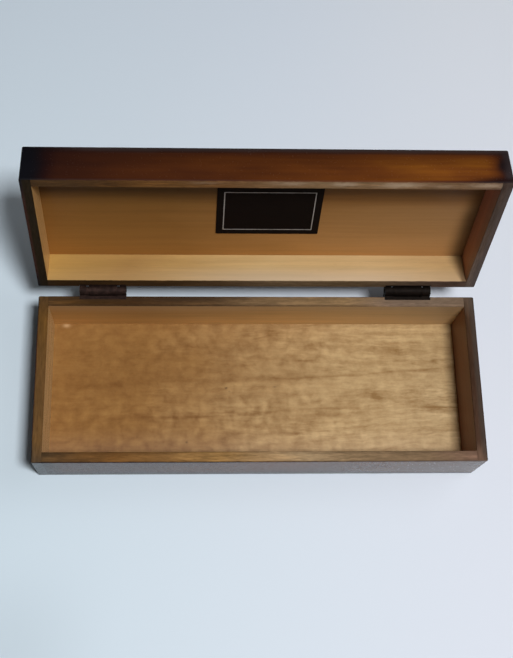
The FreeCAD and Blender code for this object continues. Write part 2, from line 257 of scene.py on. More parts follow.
def run(g, along):
    """0 to 1 from left to right, or from front to back."""
    return (g.x + HX) / LENGTH if along == "x" else (g.y + HY) / WIDTH


def lacquer(g, amber, along, seed):
    """Sprayed gloss over the wood: amber 0 is the dark edge, 1 the clear middle."""
    streak, fibre, pore, v = grain(g, along, seed)
    cloud = g.noise(g.times(v, (0.030, 0.10, 0.10), (seed, 1.7 * seed, 0)), detail=3.0, rough=0.55)
    level = amber + (cloud - 0.5) * 0.75 * amber + (streak - 0.5) * 0.34 * amber + (fibre - 0.5) * 0.10 * amber
    colour = g.stops(level, BURST)
    dust = g.noise(g.times(v, (0.9, 0.9, 0.9), (seed, 0, 5)), detail=2.0)
    rough = g.ramp(dust, 0.35, 0.70, 0.18, 0.28)
    relief = (streak - 0.5) * 0.6 + (fibre - 0.5) * 0.12 + (dust - 0.5) * 0.06
    return colour, rough, relief


def side_amber(g, body, along, seed):
    """How clear the lacquer is on the four outer sides of the tray or the lid."""
    drift = g.noise(g.times(g.p, (0.018, 0.03, 0.03), (seed, 0, 0)), detail=2.0)
    if body == "lid":
        edge = g.ease(TOP - g.z + (drift - 0.5) * 2.5, 0.6, 6.5)
        lip = g.ease(g.z - LID_RIM, 0.05, 1.1, 0.35, 1.0)
    else:
        edge = g.ease(g.z + (drift - 0.5) * 3.0, 0.2, 9.5)
        lip = g.ease(BASE_RIM - g.z, 0.05, 1.1, 0.35, 1.0)
    if along == "x":
        span = g.ease(HX - g.abs(g.x), 0.0, 14.0) * g.ramp(drift, 0.30, 0.70, 0.60, 0.95)
    else:
        span = g.ease(HY - g.abs(g.y), 0.0, 15.0) * g.ramp(drift, 0.30, 0.70, 0.60, 0.95)
    return edge * lip * span


def inner_wood(g, places, along, seed, contrast=1.0, rough=(0.38, 0.48)):
    """Satin bare wood of an inner face; places gives its stain along the board."""
    streak, fibre, pore, v = grain(g, along, seed)
    cloud = g.noise(g.times(v, (0.02, 0.06, 0.06), (0, seed, 2.3)), detail=2.0)
    base = g.stops(run(g, along) + (cloud - 0.5) * 0.25, places)
    tone = 1.0 + (streak - 0.5) * (0.55 * contrast) + (fibre - 0.5) * (0.30 * contrast) + (cloud - 0.5) * (0.25 * contrast)
    dash = g.ease(pore, 0.64, 0.74, 1.0, 1.0 - 0.16 * contrast)
    colour = g.shade(base, tone * dash)
    relief = (streak - 0.5) * 0.5 + (fibre - 0.5) * 0.6
    return colour, g.ramp(fibre, 0.3, 0.7, *rough), relief


def rim_wood(g, places, along, seed, joint=(0.05, 0.05), chips=0.3):
    """Sawn edge of a board: stained, rubbed paler in soft flecks and chips along the grain."""
    streak, fibre, pore, v = grain(g, along, seed + 7.0)
    patch = g.noise(g.times(v, (0.050, 0.28, 0.10), (seed, seed, 0)), detail=3.0, rough=0.55)
    fleck = g.noise(g.times(v, (0.26, 1.3, 0.50), (2 * seed, 0, 0)), detail=3.0, rough=0.6)
    colour = g.stops(run(g, along) + (patch - 0.5) * 0.10, places)
    chip = g.ease(g.noise(g.times(v, (0.075, 0.75, 0.3), (seed, 5.0, 0)), detail=3.0, rough=0.6), 0.54, 0.66)
    tone = 1.0 + (patch - 0.5) * 0.85 + (fleck - 0.5) * 0.95 + (fibre - 0.5) * 0.45 + chip * chips
    pit = g.ease(pore, 0.61, 0.73, 1.0, 0.72)
    gap = g.ease(g.x, -1.0, 1.0, joint[0], joint[1])
    seam = g.ease(g.abs(g.abs(g.x) - IX), 0.42, 0.12) * gap * g.ease(g.abs(g.y), IY - 0.2, IY + 0.2)
    colour = g.shade(colour, tone * pit * (1.0 - seam))
    rough = g.ramp(fleck, 0.3, 0.7, 0.85, 0.68)
    relief = (fleck - 0.5) * 1.0 + (fibre - 0.5) * 0.9 + (streak - 0.5) * 0.6
    return colour, rough, relief


def finish_board(g, lac, inner, rim, inner_mask, rim_mask, spec=0.18):
    """Puts the three finishes of a board together."""
    colour = g.mix(inner_mask, lac[0], inner[0])
    rough = g.blend(inner_mask, lac[1], inner[1])
    relief = g.blend(inner_mask, lac[2] * 0.25, inner[2] * 0.6)
    if rim is not None:
        colour = g.mix(rim_mask, colour, rim[0])
        rough = g.blend(rim_mask, rough, rim[1])
        relief = g.blend(rim_mask, relief, rim[2] * 1.6)
    normal = g.bump(relief, 0.06, 0.8)
    return g.set(colour=colour, rough=rough, normal=normal, spec=spec, ior=1.48)


def wall(node, body, side, amber, inner_places, rim_places, seed, contrast=1.0, joint=(0.05, 0.05),
         rough=(0.38, 0.48), tint=None, edge=None, skin_tint=None, chips=0.3, wrap=0.0, spec=0.18):
    """A board of the tray or lid: side is front, rear, left or right."""
    g = Graph("wood_" + node, body)
    along = "x" if side in ("front", "rear") else "y"
    wave = g.noise(g.times(g.p, (0.25, 0.25, 0.25), (seed, 0, 9)), detail=2.0) - 0.5
    if body == "base":
        rim_mask = g.ease(g.z + wave * 0.25, BASE_RIM - 0.34, BASE_RIM - 0.20)
    else:
        rim_mask = g.ease(g.z + wave * 0.25, LID_RIM + 0.34, LID_RIM + 0.20)
    skin = {"front": -g.y, "rear": g.y, "left": -g.x, "right": g.x}[side]
    half, inside = (HY, IY) if along == "x" else (HX, IX)
    rim_mask = rim_mask * g.ease(skin + wave * 0.5, half - 0.10 - wrap, half - 0.32 - wrap * 2.2)
    inner_mask = g.ease(skin, inside + 0.20, inside + 0.10)
    if along == "y":
        rim_mask = rim_mask * g.ease(g.abs(g.y) + wave * 0.5, HY - 0.10, HY - 0.32)
        inner_mask = inner_mask * g.ease(g.abs(g.y), IY + 0.25, IY + 0.10)
    lac = lacquer(g, amber(g), along, seed)
    if skin_tint is not None:
        lac = (skin_tint(g, lac[0]), *lac[1:])
    arris = g.ease(g.abs(g.z - (BASE_RIM if body == "base" else LID_RIM)), 1.0, 0.4)
    lac = (lac[0], g.blend(arris, lac[1], 0.62), lac[2])
    inner = inner_wood(g, inner_places, along, seed, contrast, rough)
    if tint is not None:
        inner = (tint(g, inner[0]), *inner[1:])
    rim = rim_wood(g, rim_places, along, seed, joint, chips)
    if edge is not None:
        rim = (edge(g, rim[0]), *rim[1:])
    give(node, finish_board(g, lac, inner, rim, inner_mask, rim_mask, spec))


def front_skin(g):
    """1 on the faces that look to the front when the case is shut."""
    return g.ease(-g.y, HY - 0.75, HY - 0.25)


def lid_front_amber(g):
    """The lid's front is sprayed dark on the left and clears to amber towards the right."""
    drift = g.noise(g.times(g.p, (0.022, 0.05, 0.05), (11.0, 0, 0)), detail=2.0) - 0.5
    edge = g.ease(TOP - g.z + drift * 2.5, -1.0, 6.0, 0.42, 1.0)
    lip = g.ease(g.z - LID_RIM, 0.10, 1.4, g.ramp(g.x, 45.0, 88.0, 0.88, 0.35), 1.0)
    low = 1.0 - g.ease(g.z, 33.0, 29.5) * g.ease(g.x, 72.0, 90.0) * 0.35
    climb = g.ramp(g.x + drift * 22.0, -92.0, 70.0, 0.255, 0.765)
    left = g.ease(g.x + drift * 6.0, -94.0, -80.0)
    right = g.ease(g.x + drift * 5.0, 95.0, 84.0, 0.30, 1.0)
    return edge * lip * low * climb * left * right


def lid_front_tone(g):
    """The lid's front is darker towards the top edge and clearest low down."""
    down = TOP - g.z
    tone = g.ease(down, 0.3, 3.2, 0.80, 1.0) * g.ease(down, 5.0, 12.0, 0.84, 1.10)
    tone = (tone - 1.0) * g.ease(g.x, -75.0, -35.0, 0.45, 1.0) + 1.0
    return tone + smudge(g, g.x, down, 69.0, 11.5, 14.0, 3.5) * 0.15 - smudge(g, g.x, down, -3.0, 12.0, 13.0, 3.0) * 0.12


def lid_front_tint(g, colour):
    """Painted reflection, violet-brown, along the top edge; near black at the left end, smoky at the right end."""
    drift = g.noise(g.times(g.p, (0.10, 0.12, 0.12), (4.0, 7.0, 0)), detail=3.0) - 0.5
    painted_top_reflection = g.ease(TOP - g.z + drift * 2.4, 3.6, -0.6) * g.ease(g.x + drift * 8.0, -88.0, -70.0, 0.15, 0.72)
    colour = g.mix(painted_top_reflection, colour, (0.058, 0.038, 0.034))
    colour = g.mix(g.ease(g.x + drift * 4.0, -84.0, -92.0) * 0.80, colour, (0.0062, 0.0064, 0.0095))
    colour = g.mix(g.ease(g.x + drift * 3.0, 90.5, 93.4) * 0.85, colour, (0.034, 0.026, 0.028))
    colour = g.mix(g.ease(g.z + drift, 31.8, 29.0) * g.ease(g.x, 75.0, 91.0) * 0.85, colour, (0.014, 0.006, 0.006))
    colour = g.mix(smudge(g, g.x + drift * 3.0, g.z + drift * 3.0, 91.6, 36.8, 2.0, 3.6) * 0.88, colour, (0.010, 0.007, 0.008))
    return g.shade(colour, lid_front_tone(g))


def lid_end_amber(seed):
    def amber(g):
        return g.blend(front_skin(g), side_amber(g, "lid", "y", seed), lid_front_amber(g))
    return amber


def end_tint(g, colour):
    return g.mix(front_skin(g), colour, lid_front_tint(g, colour))


def smudge(g, x, y, cx, cy, rx, ry, turn=0.0):
    """1 at a soft oval mark, 0 away from it."""
    c, s = math.cos(math.radians(turn)), math.sin(math.radians(turn))
    dx, dy = x - cx, y - cy
    u = (dx * c + dy * s) / rx
    v = (dy * c - dx * s) / ry
    return g.exp(-(u * u + v * v))


def dark_back(g, colour):
    """Stain that crept over the back edge of the rear rim, left of the middle; the rim is also darker along its inner
    edge, except towards the right end.
    """
    creep = g.noise(g.times(g.p, (0.06, 0.4, 0.1), (3.0, 1.0, 0)), detail=3.0) - 0.5
    f = g.ease(g.y + creep * 2.0, HY - 3.0, HY - 1.2) * g.ease(g.x + creep * 30.0, 6.0, -18.0) * 0.45
    colour = g.mix(f, colour, (0.030, 0.017, 0.009))
    inner = g.ease(g.y + creep * 0.5, IY + 0.95, IY + 0.35) * g.ease(g.x, 58.0, 40.0) * 0.50
    return g.mix(inner, colour, (0.040, 0.022, 0.009))


def worn_front(g, colour):
    """The tray's front rim is rubbed paler along the middle and darker along its inner edge."""
    creep = g.noise(g.times(g.p, (0.05, 0.5, 0.1), (8.0, 2.0, 0)), detail=3.0) - 0.5
    tone = g.ease(-g.y + creep * 1.2, IY + 0.2, IY + 1.9, 0.74, 1.10) * g.ease(-g.y, HY - 0.9, HY - 0.25, 1.0, 0.72)
    return g.shade(colour, tone)


def rubbed_lid(g, colour):
    """The lid's front rim is rubbed pale in a few places right of the middle."""
    creep = g.noise(g.times(g.p, (0.30, 0.8, 0.1), (2.0, 9.0, 0)), detail=3.0, rough=0.6) - 0.5
    x, y = g.x + creep * 9.0, g.y + creep * 2.2
    f = smudge(g, x, y, 29.0, -34.6, 5.0, 1.2) * 0.85 + smudge(g, x, y, 51.0, -34.2, 8.0, 1.5, -2.0) * 0.92
    f = f + smudge(g, x, y, 85.0, -34.3, 6.5, 1.2) * 0.75 + smudge(g, x, y, 9.0, -34.8, 7.0, 1.0) * 0.55
    f = f + smudge(g, x, y, -24.0, -34.9, 6.0, 0.8) * 0.25 + smudge(g, x, y, 68.0, -33.9, 4.5, 0.8) * 0.40
    colour = g.mix(f, colour, (0.430, 0.310, 0.205))
    return g.mix(smudge(g, g.x, g.y, 92.4, -34.6, 0.9, 1.0) * 0.7, colour, (0.045, 0.026, 0.020))


def grey_outside(tone):
    """Grey bloom of the spray over the outer half of the right-hand rims."""
    def edge(g, colour):
        creep = g.noise(g.times(g.p, (0.4, 0.06, 0.1), (1.0, 4.0, 0)), detail=3.0) - 0.5
        f = g.ease(g.x + creep * 1.6, HX - 3.3, HX - 1.0) * 0.66 * g.ease(-g.y, HY - 5.0, HY - 1.0, 1.0, 0.35)
        return g.mix(f, colour, tone)
    return edge


def painted_light_above(g, colour):
    """The tray's back wall is cooler towards its rim, painted light, and paler towards the floor."""
    colour = g.mix(g.ease(g.z, 16.0, 27.0, 0.0, 0.45), colour, (0.47, 0.325, 0.20))
    return g.shade(colour, g.ease(g.z, 20.0, 4.0, 1.0, 1.26))


def painted_shade_low(g, colour):
    """Painted shade: the tray's right-hand wall darkens towards the floor; towards the rim it is blended with a duller
    brown.
    """
    colour = g.shade(colour, g.ease(g.z, 3.0, 15.0, 0.66, 1.0))
    return g.mix(g.ease(g.z, 21.0, 27.8) * 0.40, colour, (0.150, 0.085, 0.060))


# Painted shade: the lid's right-hand wall darkens into its corner with the ceiling; towards the rim it is blended with
# a greyish brown.
def painted_shade_high(g, colour):
    colour = g.shade(colour, g.ease(g.z, 42.0, 40.2, 0.82, 1.03))
    return g.mix(g.ease(g.z, 37.0, 29.0) * 0.52, colour, (0.192, 0.132, 0.106))


def bleach_and_corner_shade(g, colour):
    """The lid's back wall is bleached towards its rim, mostly about the middle, and has a painted shade in its right
    corner.
    """
    f = g.ease(g.z, 37.5, 29.0) * g.ease(g.x, -60.0, 10.0, 0.10, 0.62) * g.ease(g.x, 85.0, 45.0, 0.45, 1.0)
    colour = g.mix(f, colour, (0.68, 0.54, 0.395))
    corner = g.ease(g.x, 89.2, g.ramp(g.z, 39.0, 29.0, 82.6, 87.8), 0.30, 1.0)
    return g.mix(1.0 - corner, colour, (0.050, 0.017, 0.004))


def base_front_amber(g):
    return side_amber(g, "base", "x", 3.0) * g.ramp(g.x, -70.0, 40.0, 0.50, 0.86)


def painted_reflection_right(g, colour):
    """Painted reflection: the tray's front is mixed with a pale grey-brown, more towards the right and lower down."""
    reflection_patches = g.noise(g.times(g.p, (0.05, 0.2, 0.2), (6.0, 0, 2.0)), detail=3.0)
    f = g.ramp(g.x, 0.0, 90.0, 0.0, 1.02) * g.ramp(reflection_patches, 0.3, 0.7, 0.8, 1.2) * g.ease(g.z, 27.0, 6.0, 0.75, 1.2)
    return g.mix(f, colour, (0.180, 0.140, 0.122))


def base_end_amber(seed):
    def amber(g):
        return g.blend(front_skin(g), side_amber(g, "base", "y", seed), base_front_amber(g))
    return amber


# The front faces of the tray's ends get the tray front's painted reflection.
def base_end_tint(g, colour):
    return g.mix(front_skin(g), colour, painted_reflection_right(g, colour))


# The tray's front gets a painted reflection, paler towards the right, as its skin tint.
wall("base_front_wall", "base", "front", base_front_amber,
     ((0.0, (0.42, 0.22, 0.08)), (1.0, (0.48, 0.29, 0.12))),
     ((0.03, (0.080, 0.045, 0.019)), (0.17, (0.178, 0.079, 0.020)), (0.29, (0.205, 0.102, 0.032)),
      (0.40, (0.305, 0.168, 0.056)), (0.52, (0.378, 0.238, 0.115)), (0.60, (0.375, 0.256, 0.138)),
      (0.68, (0.245, 0.160, 0.084)), (0.86, (0.208, 0.133, 0.073)), (0.99, (0.160, 0.090, 0.062))), 1.0,
     edge=worn_front, skin_tint=painted_reflection_right, chips=0.34, spec=0.115)
# The tray's back wall gets painted light towards its rim as its tint.
wall("base_rear_wall", "base", "rear", lambda g: side_amber(g, "base", "x", 5.0),
     ((0.05, (0.55, 0.306, 0.103)), (0.22, (0.48, 0.266, 0.089)), (0.55, (0.62, 0.370, 0.140)), (0.95, (0.505, 0.334, 0.165))),
     ((0.02, (0.098, 0.046, 0.013)), (0.12, (0.063, 0.027, 0.004)), (0.22, (0.055, 0.023, 0.005)),
      (0.40, (0.096, 0.050, 0.019)), (0.50, (0.200, 0.120, 0.056)), (0.70, (0.275, 0.170, 0.078)),
      (0.82, (0.174, 0.117, 0.079)), (0.90, (0.215, 0.146, 0.096)), (0.98, (0.170, 0.112, 0.072))), 2.0, 0.7,
     tint=painted_light_above, edge=dark_back, chips=0.40)
wall("base_left_end", "base", "left", base_end_amber(7.0),
     ((0.0, (0.58, 0.375, 0.175)), (0.5, (0.61, 0.415, 0.200)), (1.0, (0.63, 0.430, 0.200))),
     ((0.03, (0.082, 0.048, 0.022)), (0.14, (0.146, 0.073, 0.021)), (0.55, (0.130, 0.063, 0.017)),
      (0.86, (0.140, 0.065, 0.012)), (0.97, (0.098, 0.048, 0.014))), 3.0, rough=(0.24, 0.32), wrap=0.12)
# The right end's inner face has a darker stain than the tray's other inner faces of the same wood, painted shade, and
# its tint adds painted shade towards the floor.
wall("base_right_end", "base", "right", base_end_amber(9.0),
     ((0.0, (0.225, 0.088, 0.052)), (1.0, (0.230, 0.096, 0.040))),
     ((0.03, (0.150, 0.085, 0.055)), (0.12, (0.064, 0.029, 0.015)), (0.50, (0.049, 0.020, 0.008)),
      (0.86, (0.058, 0.026, 0.010)), (0.97, (0.108, 0.067, 0.043))), 4.0, tint=painted_shade_low, edge=grey_outside((0.060, 0.046, 0.037)), skin_tint=base_end_tint, wrap=0.1, chips=0.15)
wall("lid_front_wall", "lid", "front", lid_front_amber,
     ((0.0, (0.40, 0.20, 0.07)), (1.0, (0.45, 0.26, 0.11))),
     ((0.03, (0.066, 0.030, 0.007)), (0.11, (0.070, 0.031, 0.008)), (0.20, (0.108, 0.043, 0.008)),
      (0.29, (0.156, 0.067, 0.016)), (0.40, (0.155, 0.068, 0.020)), (0.50, (0.192, 0.102, 0.043)),
      (0.62, (0.200, 0.115, 0.052)), (0.72, (0.205, 0.112, 0.047)), (0.80, (0.200, 0.105, 0.044)),
      (0.93, (0.178, 0.097, 0.046)), (0.99, (0.138, 0.076, 0.046))), 5.0, joint=(0.05, 0.85),
     edge=rubbed_lid, skin_tint=lid_front_tint, chips=0.36)
# The lid's back wall has a painted shade in its right corner, from its tint.
wall("lid_rear_wall", "lid", "rear", lambda g: side_amber(g, "lid", "x", 13.0),
     ((0.04, (0.53, 0.322, 0.092)), (0.20, (0.445, 0.258, 0.088)), (0.32, (0.52, 0.322, 0.118)), (0.55, (0.60, 0.415, 0.192)),
      (0.72, (0.645, 0.448, 0.218)), (0.96, (0.55, 0.358, 0.162))),
     ((0.05, (0.036, 0.016, 0.003)), (0.30, (0.060, 0.030, 0.009)), (0.42, (0.096, 0.055, 0.024)),
      (0.52, (0.158, 0.103, 0.055)), (0.72, (0.155, 0.100, 0.051)), (0.84, (0.110, 0.070, 0.044)), (0.92, (0.090, 0.054, 0.037))),
     6.0, 0.7, tint=bleach_and_corner_shade)
wall("lid_left_end", "lid", "left", lid_end_amber(15.0),
     ((0.0, (0.56, 0.330, 0.130)), (0.55, (0.62, 0.378, 0.150)), (1.0, (0.66, 0.415, 0.168))),
     ((0.05, (0.017, 0.0095, 0.0025)), (0.95, (0.019, 0.0105, 0.0028))), 7.0, rough=(0.26, 0.34), skin_tint=end_tint, wrap=0.55, chips=0.15, spec=0.12)
# The lid's right end gets painted shade in its corner with the ceiling as its tint.
wall("lid_right_end", "lid", "right", lid_end_amber(17.0),
     ((0.0, (0.400, 0.142, 0.088)), (0.50, (0.395, 0.164, 0.096)), (1.0, (0.455, 0.226, 0.130))),
     ((0.05, (0.055, 0.032, 0.021)), (0.22, (0.066, 0.041, 0.028)), (0.60, (0.100, 0.062, 0.043)), (0.95, (0.124, 0.088, 0.068))), 8.0,
     tint=painted_shade_high, edge=grey_outside((0.080, 0.060, 0.053)), skin_tint=end_tint, wrap=0.1)


# ---------------------------------------------------------------- floor of the tray
def line(g, x, y, places, width, start, stop, soft=8.0):
    """1 on a grain line that runs through the given places between two ends."""
    curve = None
    for (xa, ya), (xb, yb) in zip(places, places[1:]):
        step = g.ramp(x, xa, xb, 0.0, yb - ya)
        curve = step + places[0][1] if curve is None else curve + step
    d = (y - curve) / width
    return g.exp(-(d * d)) * g.ease(x, start - soft, start + soft) * g.ease(x, stop + soft, stop - soft)


def bottom_panel():
    g = Graph("wood_base_bottom_panel", "base")
    inside = g.ease(g.z, FLOOR - 0.30, FLOOR - 0.10) * g.ease(g.abs(g.x), IX + 0.3, IX + 0.1) * g.ease(g.abs(g.y), IY + 0.3, IY + 0.1)
    # grain that sways slowly along the length
    sway = g.noise(g.times(g.p, (0.014, 0.03, 0.0), (1.3, 4.2, 0)), detail=1.0) - 0.5
    wob = g.noise(g.times(g.p, (0.07, 0.10, 0.0), (7.3, 0.2, 0)), detail=1.0) - 0.5
    ruffle = g.noise(g.times(g.p, (0.20, 0.28, 0.0), (3.3, 8.2, 2)), detail=1.0) - 0.5
    flat = g.vec(g.x, g.y + sway * 9.0 + wob * 1.6 + ruffle * 1.6, 0.0)
    band = g.noise(g.times(flat, (0.010, 0.13, 0), (2.0, 0, 1)), detail=2.0, rough=0.5)
    streak = g.noise(g.times(flat, (0.055, 0.40, 0), (0, 5.5, 2)), detail=2.5, rough=0.5)
    thread = g.noise(g.times(flat, (0.16, 1.10, 0), (3.0, 1.5, 3)), detail=2.5, rough=0.55)
    mottle = g.noise(g.times(flat, (0.26, 0.50, 0.0), (1.0, 2.0, 6)), detail=3.0, rough=0.6)
    grit = g.noise(g.times(g.p, (0.85, 0.75, 0.0), (2.0, 7.0, 1)), detail=2.0, rough=0.55)
    pore = g.noise(g.times(flat, (0.30, 5.0, 0), (9.0, 2.5, 4)), detail=1.0)
    # quilted figure: soft pale puffs with darker creases, strongest about the middle and in front
    bent = g.vec(g.x + (g.noise(g.times(g.p, (0.10, 0.10, 0.0), (5.0, 1.0, 8)), detail=1.0) - 0.5) * 6.0, g.y, 0.0)
    pillow = g.cells(g.times(bent, (0.205, 0.190, 0.0), (4.0, 8.0, 5)), 1.0, 0.85)
    puff = g.noise(g.times(bent, (0.20, 0.17, 0.0), (4.0, 8.0, 5)), detail=2.0, rough=0.5)
    crease = g.ease(pillow, 0.20, 0.72, 0.5, -0.5)
    area = g.noise(g.times(g.p, (0.030, 0.055, 0.0), (6.0, 1.0, 7)), detail=1.0)
    here = g.ease(g.x, 50.0, 20.0, 0.50, 1.0) * g.ease(g.x, -88.0, -38.0, 0.62, 1.0)
    behind = smudge(g, g.x, g.y, 18.0, 21.0, 34.0, 11.0)
    quilted = here * g.ease(g.y, 8.0, -10.0, 0.75, 1.12) * g.ramp(area, 0.35, 0.65, 0.70, 1.20) + behind * 0.50
    # towards the front the puffs draw out into short bars across the grain
    front = g.ease(g.y, 2.0, -13.0)
    bars = g.noise(g.times(bent, (0.30, 0.060, 0.0), (1.0, 3.0, 4)), detail=1.5, rough=0.5)
    patchy = g.ramp(g.noise(g.times(g.p, (0.028, 0.09, 0.0), (2.0, 6.0, 9)), detail=1.0), 0.34, 0.66, 0.45, 1.30)
    combed = g.ease(g.x, -60.0, 55.0, 0.55, 1.35) * patchy
    calm = g.ease(g.x - g.y * 0.8, 10.0, 60.0, 1.12, 0.85)
    wild = 1.0 + smudge(g, g.x, g.y, 74.0, -1.0, 20.0, 8.5) * 0.75 + smudge(g, g.x, g.y, 66.0, 20.0, 32.0, 9.0) * 0.08 + behind * 0.12
    level = (0.5 + (band - 0.5) * (g.ease(g.x, -60.0, 20.0, 0.55, 0.95) + front * g.ease(g.x, 30.0, -20.0, 0.0, 0.55))
             + (streak - 0.5) * combed * calm * wild * (front * 0.40 + 0.92) + (bars - 0.5) * front * here * 0.46
             + (thread - 0.5) * combed * wild * 0.50 + (mottle - 0.5) * g.ease(g.x, -70.0, 50.0, 0.46, 0.78) * calm * wild
             + (puff - 0.5) * quilted * 1.15 + crease * quilted * 0.34 + (grit - 0.5) * 0.30)
    # the marks that show: long grain lines, two soft knots and a few specks
    marks = line(g, g.x, g.y + wob * 0.8, ((-92, 2.3), (-62, 3.4), (-40, 5.0), (-10, 5.6), (20, 6.4), (45, 7.8), (66, 9.5), (92, 11.6)), 0.60, 12.0, 84.0, 14.0) * 0.40
    marks = marks + line(g, g.x, g.y + wob, ((-92, 2.3), (-62, 3.4), (-40, 5.0), (-10, 5.6), (20, 6.4), (92, 11.6)), 1.5, -88.0, 30.0, 12.0) * 0.24
    marks = marks + line(g, g.x, g.y + wob, ((-92, -12.4), (-40, -11.6), (-20, -11.0), (0, -10.2), (12, -8.6), (30, -7.5), (92, -7.0)), 0.75, -36.0, 44.0, 10.0) * 0.34
    marks = marks + line(g, g.x, g.y + wob, ((-92, -12.2), (-40, -11.9), (10, -11.4)), 1.7, -72.0, -30.0, 10.0) * 0.16
    marks = marks + line(g, g.x, g.y, ((40, -7.3), (70, -6.9), (92, -7.4)), 0.55, 68.0, 90.0, 5.0) * 0.62
    marks = marks + line(g, g.x, g.y, ((40, -3.8), (70, -4.6), (92, -4.2)), 1.2, 62.0, 75.0, 3.5) * 0.48
    marks = marks + line(g, g.x, g.y, ((10, 14.9), (40, 13.9)), 0.45, 18.5, 26.5, 3.0) * 0.42
    marks = marks + line(g, g.x, g.y, ((50, 22.6), (92, 23.4)), 0.45, 62.0, 75.0, 4.0) * 0.40
    marks = marks + line(g, g.x, g.y, ((40, 17.6), (92, 18.4)), 0.60, 40.0, 56.0, 6.0) * 0.18
    marks = marks + line(g, g.x, g.y, ((30, -4.4), (60, -3.6)), 0.50, 30.0, 46.0, 5.0) * 0.22
    marks = marks + smudge(g, g.x, g.y, 54.0, -2.2, 3.1, 1.7, -24.0) * 0.95 + smudge(g, g.x, g.y, 50.5, 0.6, 4.2, 2.0, 30.0) * 0.30
    marks = marks + smudge(g, g.x, g.y, 60.0, -1.6, 1.8, 1.2) * 0.32 + smudge(g, g.x, g.y, 61.5, 20.4, 4.6, 1.9, -6.0) * 0.80
    marks = marks + smudge(g, g.x, g.y, 54.2, 20.2, 1.4, 1.2) * 0.50 + smudge(g, g.x, g.y, 81.4, 14.3, 1.6, 1.0) * 0.75
    speck = smudge(g, g.x, g.y, -13.2, 1.8, 0.62, 0.45, 30.0) * 0.70 + smudge(g, g.x, g.y, 8.6, 2.4, 0.7, 0.5) * 0.38
    speck = speck + smudge(g, g.x, g.y, -30.8, -22.6, 0.55, 0.45) * 0.55 + smudge(g, g.x, g.y, -11.8, 0.3, 0.5, 0.4) * 0.30
    dash = g.ease(pore, 0.63, 0.74, 0.0, 0.16)
    level = level - marks * 0.9 - dash
    # stain: warm on the left, paler towards the right and the front; a pale band along the front edge is painted light
    slide = g.ease(g.x + (area - 0.5) * 45.0 - g.y * 0.28, -62.0, 60.0)
    far = g.ease(g.x - g.y * 0.9, 40.0, 95.0, 0.0, 0.5)
    deep = g.mix(slide, (0.1845, 0.0705, 0.0125), (0.297, 0.164, 0.055))
    pale = g.mix(slide, (0.4455, 0.2355, 0.0695), (0.706, 0.500, 0.253))
    pale = g.mix(far, pale, (0.784, 0.580, 0.3255))
    colour = g.mix(g.ramp(level, -0.25, 1.25), deep, pale)
    # painted light: a pale band along the front edge of the floor
    colour = g.mix(g.ease(g.y, -14.0, -29.0, 0.0, 0.13), colour, (0.48, 0.37, 0.29))
    colour = g.mix(speck, colour, (0.05, 0.024, 0.012))
    # painted highlight: a small pale fleck at the back left corner
    colour = g.mix(smudge(g, g.x, g.y, -85.2, 31.0, 1.5, 0.9) * 0.55, colour, (0.80, 0.55, 0.30))
    rough = g.ramp(puff, 0.3, 0.7, 0.50, 0.42)
    relief = (streak - 0.5) * 0.5 + (thread - 0.5) * 0.6 + (puff - 0.5) * 0.35
    drift = g.noise(g.times(g.p, (0.02, 0.02, 0.02), (2.0, 0, 0)), detail=2.0)
    out = g.ease(HX - g.abs(g.x), 0.0, 16.0) * g.ease(HY - g.abs(g.y), 0.0, 13.0) * g.ramp(drift, 0.3, 0.7, 0.65, 0.95)
    lac = lacquer(g, out, "x", 21.0)
    give("base_bottom_panel", finish_board(g, lac, (colour, rough, relief), None, inside, None))


def top_panel():
    g = Graph("wood_lid_top_panel", "lid")
    inside = g.ease(g.z, CEILING + 0.30, CEILING + 0.10) * g.ease(g.abs(g.x), IX + 0.3, IX + 0.1) * g.ease(g.abs(g.y), IY + 0.3, IY + 0.1)
    colour, rough, relief = inner_wood(
        g, ((0.05, (0.298, 0.132, 0.029)), (0.30, (0.280, 0.125, 0.029)), (0.60, (0.380, 0.180, 0.052)),
            (0.95, (0.410, 0.212, 0.078))), "x", 31.0, 0.55)
    # Painted shade: the ceiling darkens towards the lid's front wall, whose shadow falls there, more on the left, and
    # in a band along the right-hand wall; it is also warmer towards the front on the right.
    colour = g.shade(colour, g.ramp(g.y, -22.0, 29.0, 0.43, 1.25)
                     * g.ease(g.x, g.ramp(g.y, -17.0, 3.0, IX, 88.8), g.ramp(g.y, -17.0, 24.0, 82.6, 79.8),
                              g.ramp(g.y, -17.0, 3.0, 0.70, 0.38), 1.0)
                     * (1.0 + g.ease(g.y, -6.5, -15.0) * g.ramp(g.x, -80.0, 80.0, -0.36, 0.04)
                        + g.ease(g.y, -1.5, -8.5) * g.ramp(g.x, -60.0, 20.0, 0.0, -0.18)))
    colour = g.mix(g.ease(g.y, -1.0, -9.0) * g.ease(g.x, -40.0, 40.0), colour, (1.0, 0.87, 0.70), "MULTIPLY")
    drift = g.noise(g.times(g.p, (0.018, 0.03, 0.02), (5.0, 0, 0)), detail=2.0)
    flat = g.ease(HX - g.abs(g.x), 0.0, 26.0) * g.ease(HY - g.abs(g.y), 0.3, 19.0) * g.ramp(drift, 0.3, 0.7, 0.80, 1.08)
    lac = lacquer(g, g.blend(front_skin(g), flat, lid_front_amber(g)), "x", 33.0)
    skin = g.shade(end_tint(g, lac[0]), (lid_front_tone(g) - 1.0) * front_skin(g) + 1.0)
    # Painted highlight: a grey line along the top edge of the lid's front, except at the left end.
    skin = g.mix(front_skin(g) * g.ease(g.z, TOP - 2.8, TOP - 0.4) * g.ease(g.x, -86.0, -60.0) * 0.45, skin, (0.054, 0.042, 0.042))
    lac = (skin, *lac[1:])
    give("lid_top_panel", finish_board(g, lac, (colour, rough, relief), None, inside, None))


bottom_panel()
top_panel()


